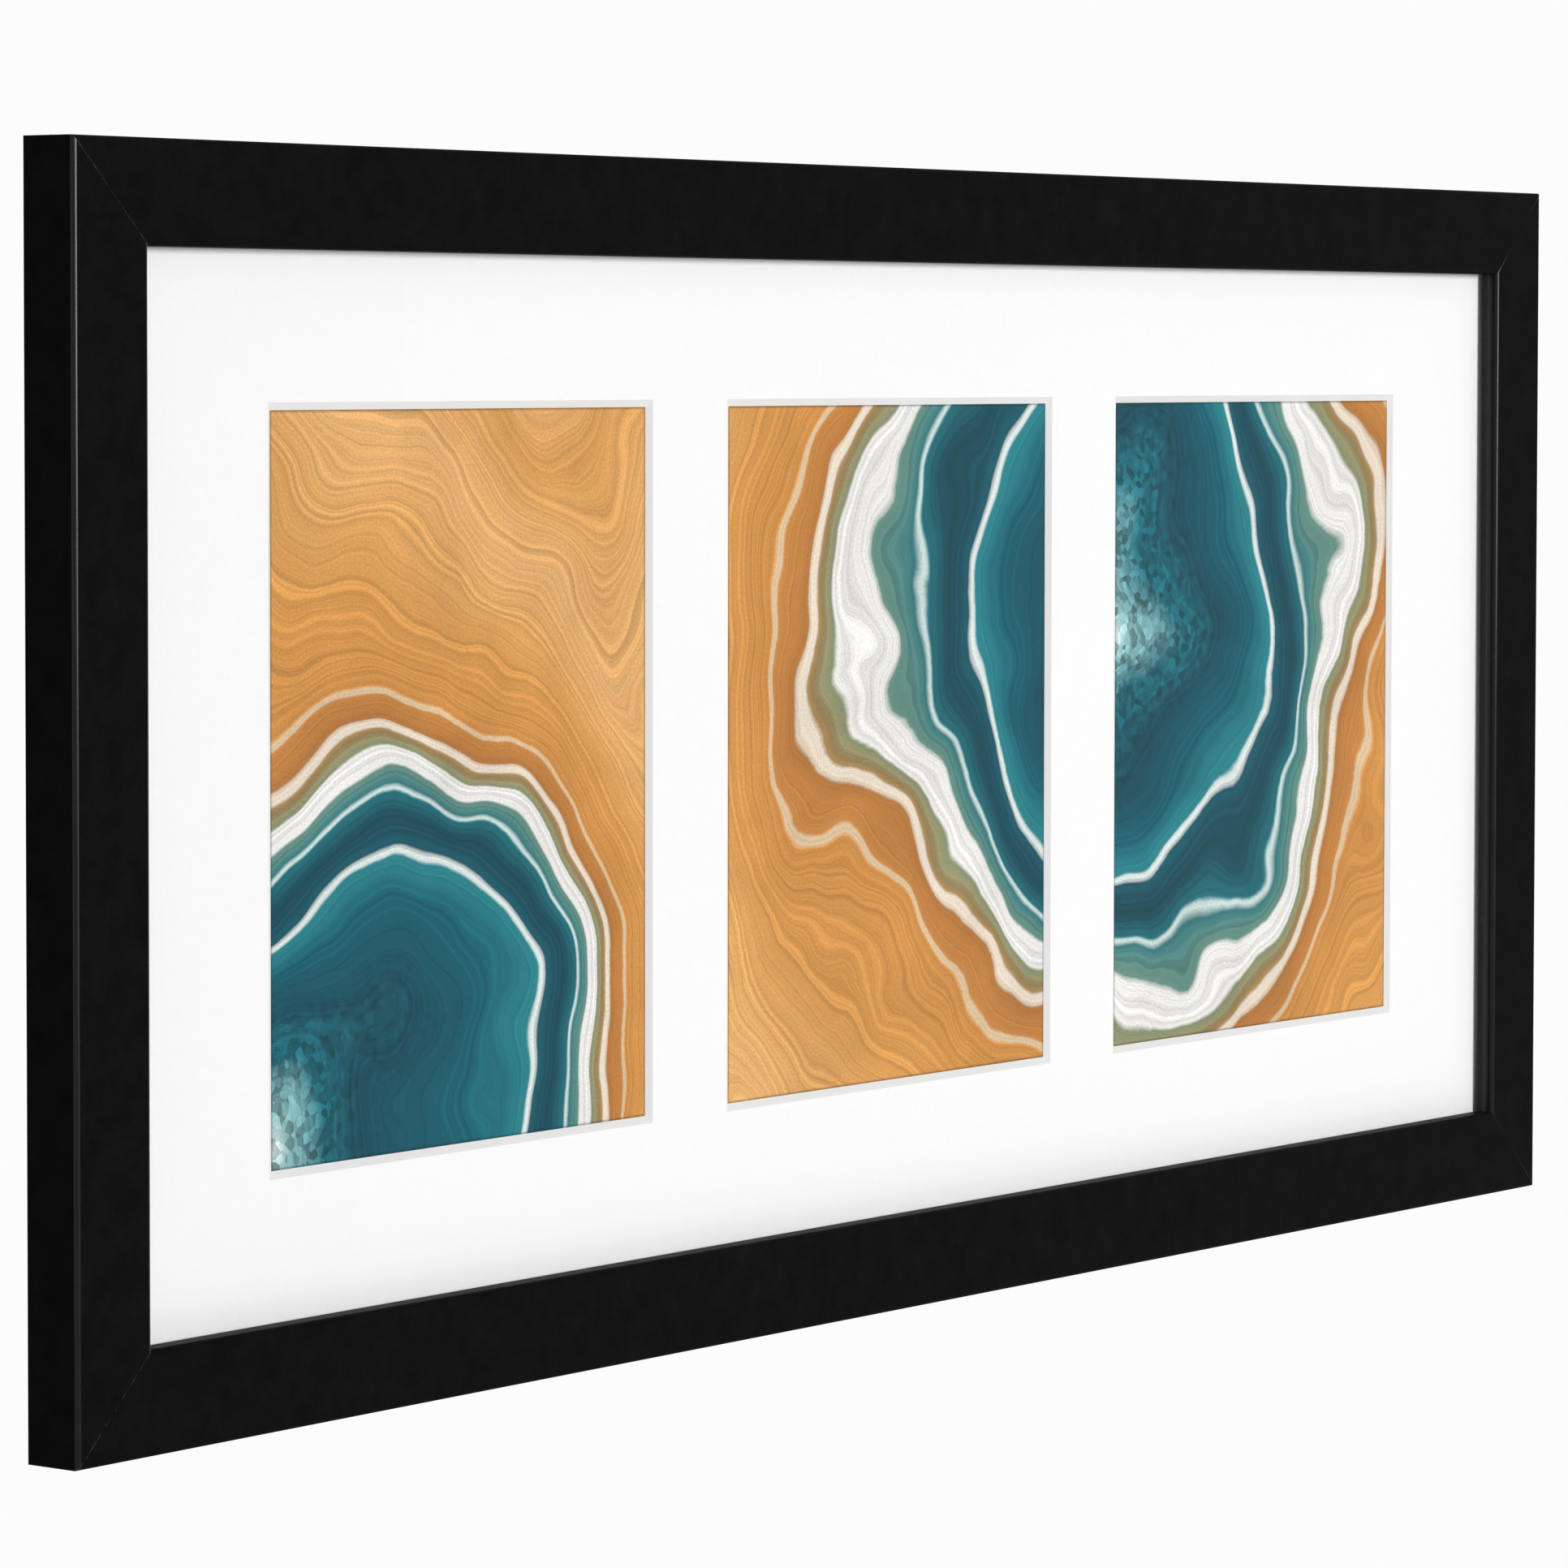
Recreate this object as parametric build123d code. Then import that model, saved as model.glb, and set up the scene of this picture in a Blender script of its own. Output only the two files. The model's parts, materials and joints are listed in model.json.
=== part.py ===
from build123d import *
import math
import os

# Collage picture frame for a wall: a mitred black moulding round a glazed white mat
# with three bevelled windows, and an 8 x 10 in print behind each window.
# Seen from the front, +X is right, +Y is back towards the wall and +Z is up.
# The pieces are drawn about the middle of the moulding's front face, and placed() then
# moves them, so that the origin is on the wall, midway between the two hooks.

# Prints: 8 x 10 in
print_width = 203.2
print_height = 254.0
print_thickness = 0.25

# Windows in the mat, each covering the edges of its print, and the mat that shows round
# them, which together make the frame 34 x 16 in outside
window_names = ("left", "centre", "right")
window_overlap = 6.35
window_gap = 46.0
side_margin = 66.75
end_margin = 49.25
bevel_width = 2.5

# Paper tapes that hang the prints from the back of the mat
tape_thickness = 0.15
tape_width = 25.0
tape_length = 20.0
tape_inset = 41.6

# Section of the moulding
frame_depth = 21.3
moulding_face = 33.3
lip_depth = 7.2
lip_overlap = 6.4
front_arris_radius = 1.6
back_arris_radius = 0.5
mitre_groove = 0.35

# V-shaped nails driven across each mitre from the back
v_nail_leg = 5.0
v_nail_thickness = 0.6
v_nail_half_angle = 50.0
v_nail_depth = 10.0
v_nail_inset = 7.0
v_nail_pitch = 9.0
v_nails_per_corner = 2

# Sheets in the rebate, which stand on the bottom rail
sheet_clearance = 2.8
glazing_thickness = 2.0
mat_thickness = 1.4
backing_thickness = 3.2
backing_recess = 0.3

# Wood screws
screw_radius = 1.45
screw_length = 11.0
screw_head_radius = 2.9
screw_head_height = 1.8

# Turn buttons that hold the backing board in
button_thickness = 0.8
button_heel = 6.0
button_heel_width = 12.0
button_reach = 24.0
button_tip_width = 8.0
button_corner_radius = 2.0
button_lift_length = 7.0
button_lift_angle = 20.0
button_bend_radius = 4.0
button_setback = 10.5
button_gap = 0.2
button_head_gap = 0.1
button_pivot_clearance = 0.07
button_inset = 131.8
buttons_per_rail = 3

# Strap hangers, each with a rolled eye that carries a D-ring
hanger_drop = 80.0
strap_width = 11.0
strap_thickness = 0.8
strap_lift = 0.25
strap_hole_drop = 21.0
strap_hole_to_end = 7.0
strap_hole_clearance = 0.15
eye_clearance = 0.08
eye_slot = 0.4
ring_wire_radius = 1.25
ring_wire_sides = 8
ring_inner_width = 14.0
ring_leg = 2.75
ring_corner_radius = 2.5
ring_butt_gap = 0.4

# Rubber bumpers on the bottom rail, which keep the frame off the wall
bumper_radius = 5.5
bumper_thickness = 5.0
bumper_inset = 45.0

# Sizes worked out from those above
window_width = print_width - 2 * window_overlap
window_height = print_height - 2 * window_overlap
window_pitch = window_width + window_gap
window_middle = (len(window_names) - 1) / 2
window_x = {name: (i - window_middle) * window_pitch for i, name in enumerate(window_names)}
sight_width = window_width + 2 * window_middle * window_pitch + 2 * side_margin
sight_height = window_height + 2 * end_margin
frame_width = sight_width + 2 * moulding_face
frame_height = sight_height + 2 * moulding_face
land_width = moulding_face - lip_overlap
sheet_width = sight_width + 2 * lip_overlap - sheet_clearance
sheet_height = sight_height + 2 * lip_overlap - sheet_clearance
sheet_drop = sheet_clearance / 2
glazing_front = lip_depth
mat_front = glazing_front + glazing_thickness
mat_back = mat_front + mat_thickness
print_back = mat_back + print_thickness
filler_front = print_back + tape_thickness
backing_front = frame_depth - backing_recess - backing_thickness

button_u = land_width - button_setback
button_underside = frame_depth + button_gap
button_screw_seat = button_underside + button_thickness + button_head_gap
button_pitch = (frame_width - 2 * button_inset) / (buttons_per_rail - 1)

eye_inner_radius = ring_wire_radius + eye_clearance
eye_outer_radius = eye_inner_radius + strap_thickness
eye_y = frame_depth + strap_lift + eye_outer_radius
eye_z = frame_height / 2 - hanger_drop
ring_half_width = ring_inner_width / 2 + ring_wire_radius
ring_height = ring_corner_radius + ring_leg + ring_half_width
hanger_x = frame_width / 2 - land_width / 2

wall_y = frame_depth + bumper_thickness
hook_z = eye_z + ring_height - ring_wire_radius


def placed(shape):
    """Move a drawn piece so that the origin is on the wall, midway between the hooks."""
    return Pos(0, -wall_y, -hook_z) * shape


def rail_places():
    """Where each moulding goes: drawn along X, with its outer edge at z = 0 and inwards up."""
    return {
        "bottom_rail": Pos(0, 0, -frame_height / 2),
        "top_rail": Pos(0, 0, frame_height / 2) * Rot(0, 180, 0),
        "right_stile": Pos(frame_width / 2, 0, 0) * Rot(0, -90, 0),
        "left_stile": Pos(-frame_width / 2, 0, 0) * Rot(0, 90, 0),
    }


def corner_places():
    """Frames at the four outer corners, with local X running inwards along the mitre."""
    return [
        Pos(sx * frame_width / 2, 0, sz * frame_height / 2)
        * Rot(0, math.degrees(math.atan2(sz, -sx)), 0)
        for sx in (-1, 1)
        for sz in (-1, 1)
    ]


def button_places():
    """Pivot of each turn button, on the back of its rail, with the tongue pointing inwards."""
    rails = rail_places()
    local_z = Pos(0, button_underside, button_u)
    places = {}
    for rail, side, flip in (("top_rail", "top", -1), ("bottom_rail", "bottom", 1)):
        for i in range(buttons_per_rail):
            along = (i - (buttons_per_rail - 1) / 2) * button_pitch
            places[f"turn_button_{side}_{i + 1}"] = rails[rail] * Pos(flip * along, 0, 0) * local_z
    for side in ("left", "right"):
        places[f"turn_button_{side}"] = rails[f"{side}_stile"] * local_z
    return places


def strap_places():
    """Eye axis of each strap hanger, on the back of the stiles near the top."""
    return {
        side: Pos(sign * hanger_x, frame_depth, eye_z) for side, sign in (("left", -1), ("right", 1))
    }


def moulding_bar(length):
    """Straight moulding with rounded arrises and a rebate behind the lip, mitred at both ends."""
    section = make_face(
        Polyline(
            (0, 0),
            (0, moulding_face),
            (lip_depth, moulding_face),
            (lip_depth, land_width),
            (frame_depth, land_width),
            (frame_depth, 0),
            close=True,
        )
    )
    section = fillet(section.vertices().group_by(Axis.X)[0], front_arris_radius)
    back_outer = section.vertices().group_by(Axis.X)[-1].sort_by(Axis.Y)[0]
    section = fillet(back_outer, back_arris_radius)
    bar = extrude(Plane.YZ * section, amount=length / 2, both=True)
    mitred = make_face(
        Polyline(
            (-length / 2, 0),
            (length / 2, 0),
            (length / 2 - moulding_face, moulding_face),
            (moulding_face - length / 2, moulding_face),
            close=True,
        )
    )
    return bar & extrude(Plane.XZ * mitred, amount=-frame_depth)


def mitre_grooves():
    """Fine V-groove along each mitre on the front, where the finish breaks at the joint."""
    length = moulding_face * math.sqrt(2)
    groove = Pos(length / 2, 0, 0) * Rot(45, 0, 0) * Box(length, mitre_groove, mitre_groove)
    return [corner * groove for corner in corner_places()]


def v_nail():
    """Bent steel wedge with its point on the mitre and one leg in each moulding."""
    leg = Pos(v_nail_leg / 2, 0, 0) * Box(v_nail_leg, v_nail_depth, v_nail_thickness)
    return Rot(0, v_nail_half_angle, 0) * leg + Rot(0, -v_nail_half_angle, 0) * leg


def corner_v_nails():
    """Two wedges in each mitre, flush with the moulding's back."""
    nails = []
    for corner in corner_places():
        for i in range(v_nails_per_corner):
            along = (v_nail_inset + i * v_nail_pitch) * math.sqrt(2)
            nails.append(corner * Pos(along, frame_depth - v_nail_depth / 2, 0) * v_nail())
    return nails


def wood_screw():
    """Screw about Y with a flat round head: its seat at y = 0, and the shank forwards."""
    profile = make_face(
        Polyline(
            (0, screw_head_height),
            (screw_head_radius, screw_head_height),
            (screw_head_radius, 0),
            (screw_radius, 0),
            (screw_radius, -screw_length),
            (0, -screw_length),
            close=True,
        )
    )
    return revolve(profile, Axis.Y)


def turn_button_screws():
    """One screw through each turn button into its moulding."""
    lift = button_screw_seat - button_underside
    return [place * Pos(0, lift, 0) * wood_screw() for place in button_places().values()]


def strap_screws():
    """One screw through each strap into its stile."""
    seat = Pos(0, strap_thickness, -strap_hole_drop)
    return [place * seat * wood_screw() for place in strap_places().values()]


def mouldings(driven):
    """The four mitred mouldings, with a hole or slot for all that is driven into them."""
    bars = {
        "bottom_rail": moulding_bar(frame_width),
        "top_rail": moulding_bar(frame_width),
        "right_stile": moulding_bar(frame_height),
        "left_stile": moulding_bar(frame_height),
    }
    rails = {}
    for name, place in rail_places().items():
        rails[name] = place * bars[name] - mitre_grooves() - driven
    return rails


def rebate_sheet(front, thickness):
    """Flat sheet cut to the rebate, standing on the bottom rail."""
    return Pos(0, front + thickness / 2, -sheet_drop) * Box(sheet_width, thickness, sheet_height)


def window_cutter(x):
    """Opening of one window, wider at the mat's face than at its back."""
    mouth = Rectangle(window_width + 2 * bevel_width, window_height + 2 * bevel_width)
    bevel_angle = math.degrees(math.atan2(bevel_width, mat_thickness))
    cutter = extrude(mouth, amount=mat_thickness, taper=bevel_angle)
    return Pos(x, mat_front, -sheet_drop) * Rot(-90, 0, 0) * cutter


def mat_board():
    """White board with three windows, their edges cut on a bevel."""
    return rebate_sheet(mat_front, mat_thickness) - [window_cutter(x) for x in window_x.values()]


def photo_print(x):
    """Paper print behind one window."""
    middle_y = mat_back + print_thickness / 2
    return Pos(x, middle_y, -sheet_drop) * Box(print_width, print_thickness, print_height)


def print_tapes(x):
    """Two paper tapes that hang a print from the mat's back, stepped over its top edge."""
    edge = print_height / 2 - sheet_drop
    half = tape_length / 2
    section = make_face(
        Polyline(
            (mat_back, edge + half),
            (mat_back + tape_thickness, edge + half),
            (mat_back + tape_thickness, edge + tape_thickness),
            (print_back + tape_thickness, edge + tape_thickness),
            (print_back + tape_thickness, edge - half),
            (print_back, edge - half),
            (print_back, edge),
            (mat_back, edge),
            close=True,
        )
    )
    tape = extrude(Plane.YZ * section, amount=tape_width / 2, both=True)
    reach = print_width / 2 - tape_inset
    return [Pos(x + side * reach, 0, 0) * tape for side in (-1, 1)]


def turn_button():
    """Steel tongue about its pivot, with rounded corners and its end bent up as a finger lift."""
    bend_z = button_reach - button_lift_length
    rise = 2 * button_lift_length * math.tan(math.radians(button_lift_angle))
    middle = button_thickness / 2
    line = FilletPolyline(
        (middle, -2 * button_heel),
        (middle, bend_z),
        (middle + rise, bend_z + 2 * button_lift_length),
        radius=button_bend_radius,
    )
    bent = extrude(Plane.YZ * make_face(offset(line, middle)), amount=button_heel_width, both=True)
    outline = make_face(
        Polyline(
            (-button_heel_width / 2, -button_heel),
            (button_heel_width / 2, -button_heel),
            (button_tip_width / 2, button_reach),
            (-button_tip_width / 2, button_reach),
            close=True,
        )
    )
    outline = fillet(outline.vertices(), button_corner_radius)
    pivot = Rot(90, 0, 0) * Cylinder(screw_radius + button_pivot_clearance, 4 * button_thickness)
    return (bent & extrude(Plane.XZ * outline, amount=-2 * rise)) - pivot


def hanger_strap():
    """Steel strap rolled at its top into an open eye, drawn about the moulding's back face."""
    centre = Pos(eye_y - frame_depth, 0)
    length = strap_hole_drop + strap_hole_to_end
    flat = Pos(strap_thickness / 2, -length / 2) * Rectangle(strap_thickness, length)
    slot = Pos(strap_thickness + eye_slot / 2, -eye_inner_radius) * Rectangle(
        eye_slot, 2 * strap_thickness + eye_slot
    )
    section = flat + centre * Circle(eye_outer_radius) - centre * Circle(eye_inner_radius) - slot
    strip = extrude(Plane.YZ * section, amount=strap_width / 2, both=True)
    end_z = strap_width / 2 - length
    straight = eye_outer_radius - end_z
    outline = Pos(0, end_z) * Circle(strap_width / 2)
    outline += Pos(0, end_z + straight / 2) * Rectangle(strap_width, straight)
    strip = strip & extrude(Plane.XZ * outline, amount=-2 * eye_y)
    hole = Rot(90, 0, 0) * Cylinder(screw_radius + strap_hole_clearance, 4 * strap_thickness)
    return strip - Pos(0, 0, -strap_hole_drop) * hole


def d_ring():
    """Bent wire ring hanging from its straight bar, with its ends butted inside the eye."""
    half = ring_half_width
    corner = ring_corner_radius
    leg_end = -corner - ring_leg
    bar = Line((ring_butt_gap / 2, 0), (half - corner, 0))
    bend = RadiusArc((half - corner, 0), (half, -corner), corner)
    leg = Line((half, -corner), (half, leg_end))
    bow = ThreePointArc((half, leg_end), (0, -ring_height), (-half, leg_end))
    other = mirror(bar + bend + leg, Plane.YZ)
    path = Plane.XZ * Wire((bar + bend + leg + bow + other).edges())
    start = Plane(origin=path @ 0, z_dir=path % 0)
    wire = Rot(0, 0, 180 / ring_wire_sides) * RegularPolygon(ring_wire_radius, ring_wire_sides)
    return sweep(start * wire, path=path)


def wall_bumper():
    """Round rubber pad about Y, stuck on the moulding's back at y = 0."""
    return Pos(0, bumper_thickness / 2, 0) * Rot(90, 0, 0) * Cylinder(bumper_radius, bumper_thickness)


def bumper_places():
    """Middle of the bottom rail's back, a little in from each end."""
    reach = frame_width / 2 - bumper_inset
    low = land_width / 2 - frame_height / 2
    return {side: Pos(sign * reach, frame_depth, low) for side, sign in (("left", -1), ("right", 1))}


def all_nodes():
    """Every piece by its name; a list is a set of like pieces that share one name."""
    nails = corner_v_nails()
    button_screws = turn_button_screws()
    hanger_screws = strap_screws()
    nodes = mouldings(nails + button_screws + hanger_screws)
    nodes["corner_v_nails"] = nails
    nodes["turn_button_screws"] = button_screws
    nodes["hanger_screws"] = hanger_screws
    nodes["glazing"] = rebate_sheet(glazing_front, glazing_thickness)
    nodes["mat_board"] = mat_board()
    for side, x in window_x.items():
        nodes[f"{side}_print"] = photo_print(x)
        nodes[f"{side}_print_tapes"] = print_tapes(x)
    nodes["filler_board"] = rebate_sheet(filler_front, backing_front - filler_front)
    nodes["backing_board"] = rebate_sheet(backing_front, backing_thickness)
    for name, place in button_places().items():
        nodes[name] = place * turn_button()
    for side, place in strap_places().items():
        nodes[f"{side}_hanger_strap"] = place * hanger_strap()
        nodes[f"{side}_d_ring"] = place * Pos(0, eye_y - frame_depth, 0) * d_ring()
    for side, place in bumper_places().items():
        nodes[f"{side}_bumper"] = place * wall_bumper()
    return nodes


def write_parts():
    """Write one STEP file for each named piece."""
    os.makedirs("parts", exist_ok=True)
    for name, shape in all_nodes().items():
        if isinstance(shape, list):
            shape = Compound(children=[piece.solid() for piece in shape])
        export_step(placed(shape), f"parts/{name}.step")


write_parts()
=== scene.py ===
import bpy
import bmesh
import json
import math
from mathutils import Matrix, Vector


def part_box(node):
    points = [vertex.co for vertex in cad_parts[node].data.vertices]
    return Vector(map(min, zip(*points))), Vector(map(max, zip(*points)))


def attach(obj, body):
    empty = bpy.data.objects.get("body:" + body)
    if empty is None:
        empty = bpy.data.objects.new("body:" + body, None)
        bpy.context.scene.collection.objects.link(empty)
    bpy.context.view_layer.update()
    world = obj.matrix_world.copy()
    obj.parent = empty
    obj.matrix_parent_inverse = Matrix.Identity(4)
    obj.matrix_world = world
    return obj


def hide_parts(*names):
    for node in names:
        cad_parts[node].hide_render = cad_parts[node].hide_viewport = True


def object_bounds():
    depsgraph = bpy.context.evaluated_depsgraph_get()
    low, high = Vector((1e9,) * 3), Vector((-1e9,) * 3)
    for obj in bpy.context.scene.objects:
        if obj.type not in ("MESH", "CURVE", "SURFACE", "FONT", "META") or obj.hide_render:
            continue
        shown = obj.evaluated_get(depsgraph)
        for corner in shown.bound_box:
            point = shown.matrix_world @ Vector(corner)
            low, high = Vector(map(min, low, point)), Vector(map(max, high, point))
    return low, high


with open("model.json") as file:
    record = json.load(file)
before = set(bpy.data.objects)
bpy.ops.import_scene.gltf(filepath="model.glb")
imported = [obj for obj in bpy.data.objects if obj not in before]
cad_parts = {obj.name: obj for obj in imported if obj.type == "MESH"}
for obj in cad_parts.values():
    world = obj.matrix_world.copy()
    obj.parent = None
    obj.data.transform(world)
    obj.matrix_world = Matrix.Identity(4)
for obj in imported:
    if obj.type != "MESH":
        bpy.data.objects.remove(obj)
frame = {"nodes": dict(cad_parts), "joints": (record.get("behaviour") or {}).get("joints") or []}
nodes = frame["nodes"]
cad_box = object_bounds()
bpy.ops.object.select_all(action="DESELECT")


# Camera at the photograph's viewpoint, left of the frame and a little above its middle.
# Its place, turn and lens come from a fit to the straight edges of the moulding and windows.
camera_place = Vector((-1.86315, -1.38410, 0.00131))
camera_azimuth = math.radians(52.7540)
camera_elevation = math.radians(-2.5945)
camera_roll = math.radians(0.0852)
camera_lens = 148.86
camera_rise = -0.0859

ahead = Vector((
    math.sin(camera_azimuth) * math.cos(camera_elevation),
    math.cos(camera_azimuth) * math.cos(camera_elevation),
    math.sin(camera_elevation),
))
level_right = Vector((math.cos(camera_azimuth), -math.sin(camera_azimuth), 0))
level_up = level_right.cross(ahead)
right = level_right * math.cos(camera_roll) + level_up * math.sin(camera_roll)
up = level_up * math.cos(camera_roll) - level_right * math.sin(camera_roll)
bpy.ops.object.camera_add()
camera = bpy.context.object
camera.name = "photo_camera"
camera.matrix_world = Matrix.Translation(camera_place) @ Matrix((right, up, -ahead)).transposed().to_4x4()
camera.data.lens = camera_lens
camera.data.sensor_width = 36.0
camera.data.shift_y = camera_rise
camera.data.clip_end = 50
bpy.context.scene.camera = camera
bpy.context.scene.view_settings.view_transform = "Standard"


# Studio: a white cove that the camera, metal and glass see as plain white, a dimmer white fill
# on matt surfaces, and softboxes in front, at both sides and behind, which draw the thin
# highlights down the arrises.
def linear(code):
    """An sRGB hex colour as the linear RGBA that shaders take."""
    parts = [int(code[i:i + 2], 16) / 255 for i in (1, 3, 5)]
    return (*[c / 12.92 if c <= 0.04045 else ((c + 0.055) / 1.055) ** 2.4 for c in parts], 1)


def add(tree, kind, sockets=None, stops=None, **settings):
    """Add one node. Settings are its own properties, sockets gives its inputs by name or number,
    each a value or the output that feeds it, and stops are the colours along a ramp."""
    node = tree.nodes.new(kind)
    for name, value in settings.items():
        setattr(node, name, value)
    for name, value in (sockets or {}).items():
        if isinstance(value, bpy.types.NodeSocket):
            tree.links.new(value, node.inputs[name])
        else:
            node.inputs[name].default_value = value
    for i, (place, code) in enumerate(stops or []):
        points = node.color_ramp.elements
        point = points[i] if i < 2 else points.new(place)
        point.position = place
        point.color = linear(code)
    return node


cove_white = "#FDFCFD"
fill_strength = 0.32
world = bpy.data.worlds.new("white_cove")
world.use_nodes = True
bpy.context.scene.world = world
tree = world.node_tree
tree.nodes.clear()
path = add(tree, "ShaderNodeLightPath")
seen = add(tree, "ShaderNodeMath", {0: path.outputs["Is Camera Ray"], 1: path.outputs["Is Glossy Ray"]},
           operation="MAXIMUM")
seen = add(tree, "ShaderNodeMath", {0: seen.outputs[0], 1: path.outputs["Is Transmission Ray"]},
           operation="MAXIMUM")
fill = add(tree, "ShaderNodeBackground", {"Color": linear("#FFFFFF"), "Strength": fill_strength})
cove = add(tree, "ShaderNodeBackground", {"Color": linear(cove_white), "Strength": 1.0})
mixed = add(tree, "ShaderNodeMixShader", {0: seen.outputs[0], 1: fill.outputs[0], 2: cove.outputs[0]})
add(tree, "ShaderNodeOutputWorld", {"Surface": mixed.outputs[0]})

middle = (cad_box[0] + cad_box[1]) / 2
softboxes = {
    "front_softbox": {"azimuth": 6, "elevation": 9, "distance": 4.5, "size": (0.85, 1.25), "watts": 152},
    "left_strip": {"azimuth": -108, "elevation": 4, "distance": 1.6, "size": (0.12, 0.90), "watts": 2},
    "right_strip": {"azimuth": 108, "elevation": 4, "distance": 1.6, "size": (0.12, 0.90), "watts": 2},
    "back_softbox": {"azimuth": 168, "elevation": 22, "distance": 3.0, "size": (1.20, 1.20), "watts": 42},
}
for name, box in softboxes.items():
    azimuth, elevation = math.radians(box["azimuth"]), math.radians(box["elevation"])
    towards = Vector((
        math.sin(azimuth) * math.cos(elevation),
        -math.cos(azimuth) * math.cos(elevation),
        math.sin(elevation),
    ))
    bpy.ops.object.light_add(type="AREA", location=middle + towards * box["distance"])
    lamp = bpy.context.object
    lamp.name = name
    lamp.rotation_mode = "QUATERNION"
    lamp.rotation_quaternion = towards.to_track_quat("Z", "Y")
    lamp.data.shape = "RECTANGLE"
    lamp.data.size, lamp.data.size_y = box["size"]
    lamp.data.energy = box["watts"]
    lamp.visible_camera = False


# Floor: a matt white sheet well below the frame, which takes its shadow. It thins out towards
# its rim, the camera sees it half mixed with the cove's white, and from below it is clear.
floor_drop = 0.9
floor_radius = 2.4
fade_begins = 0.84
fade_ends = 2.35
floor_paleness = 0.5
bpy.ops.mesh.primitive_circle_add(
    vertices=96, radius=floor_radius, fill_type="NGON", location=(0, 0, cad_box[0].z - floor_drop)
)
floor = bpy.context.object
floor.name = "studio_floor"
floor_paint = bpy.data.materials.new("matt_white_floor")
floor_paint.use_nodes = True
tree = floor_paint.node_tree
tree.nodes.clear()
coords = add(tree, "ShaderNodeTexCoord")
spread = add(tree, "ShaderNodeVectorMath", {0: coords.outputs["Object"]}, operation="LENGTH")
fade = add(tree, "ShaderNodeMapRange", {
    "Value": spread.outputs["Value"],
    "From Min": fade_begins,
    "From Max": fade_ends,
}, interpolation_type="SMOOTHSTEP")
path = add(tree, "ShaderNodeLightPath")
paleness = add(tree, "ShaderNodeMath", {0: path.outputs["Is Camera Ray"], 1: floor_paleness},
               operation="MULTIPLY")
matt = add(tree, "ShaderNodeBsdfDiffuse", {"Color": linear("#FBFBFB")})
white = add(tree, "ShaderNodeEmission", {"Color": linear(cove_white), "Strength": 1.0})
paint = add(tree, "ShaderNodeMixShader", {
    0: paleness.outputs[0], 1: matt.outputs[0], 2: white.outputs[0],
})
clear = add(tree, "ShaderNodeBsdfTransparent")
side = add(tree, "ShaderNodeNewGeometry")
see_through = add(tree, "ShaderNodeMath", {0: fade.outputs[0], 1: side.outputs["Backfacing"]},
                  operation="MAXIMUM")
mixed = add(tree, "ShaderNodeMixShader", {
    0: see_through.outputs[0], 1: paint.outputs[0], 2: clear.outputs[0],
})
add(tree, "ShaderNodeOutputMaterial", {"Surface": mixed.outputs[0]})
floor.data.materials.append(floor_paint)


# Mouldings: four lengths of fibreboard, mitred, and sprayed with satin black lacquer on the
# front, the outer sides and the lip. It is burnished on the stiles' arrises, has a painted
# highlight along the left mitres and painted light on the lip's inner wall, and ends in a ragged
# edge of overspray on the bare back.
def new_finish(name):
    """A material's node tree with a plain Principled shader, and its object coordinates."""
    material = bpy.data.materials.new(name)
    material.use_nodes = True
    tree = material.node_tree
    shader = tree.nodes["Principled BSDF"]
    coords = add(tree, "ShaderNodeTexCoord")
    return material, tree, shader, coords.outputs["Object"]


def pick(piece):
    """Select one piece alone and make it active."""
    bpy.ops.object.select_all(action="DESELECT")
    piece.select_set(True)
    bpy.context.view_layer.objects.active = piece


def modify(piece, kind, **settings):
    """Add one modifier with its settings and apply it."""
    pick(piece)
    bpy.ops.object.modifier_add(type=kind)
    modifier = piece.modifiers[-1]
    for name, value in settings.items():
        setattr(modifier, name, value)
    bpy.ops.object.modifier_apply(modifier=modifier.name)


def smooth(piece, limit=35):
    """Shade a piece smooth over its rounds and flat over its faces."""
    pick(piece)
    bpy.ops.object.shade_smooth_by_angle(angle=math.radians(limit))
    modify(piece, "WEIGHTED_NORMAL", keep_sharp=True)


def settle(piece, material, slot, body, *replaced):
    """Give a piece its finish, its body and the nodes that it stands for."""
    piece.data.materials.clear()
    piece.data.materials.append(material)
    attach(piece, body)
    if replaced:
        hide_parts(*replaced)


def finished_copy(name, arris=0.0):
    """A node as one closed mesh with smooth rounds, its sharp edges broken by arris."""
    piece = bpy.data.objects.new(f"finished_{name}", nodes[name].data.copy())
    bpy.context.scene.collection.objects.link(piece)
    pick(piece)
    bpy.ops.object.mode_set(mode="EDIT")
    bpy.ops.mesh.select_all(action="SELECT")
    bpy.ops.mesh.remove_doubles(threshold=0.000002)
    bpy.ops.mesh.dissolve_limited(angle_limit=math.radians(0.5))
    bpy.ops.object.mode_set(mode="OBJECT")
    if arris:
        modify(piece, "BEVEL", width=arris, segments=2, limit_method="ANGLE", angle_limit=math.radians(50))
    smooth(piece)
    return piece


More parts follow.
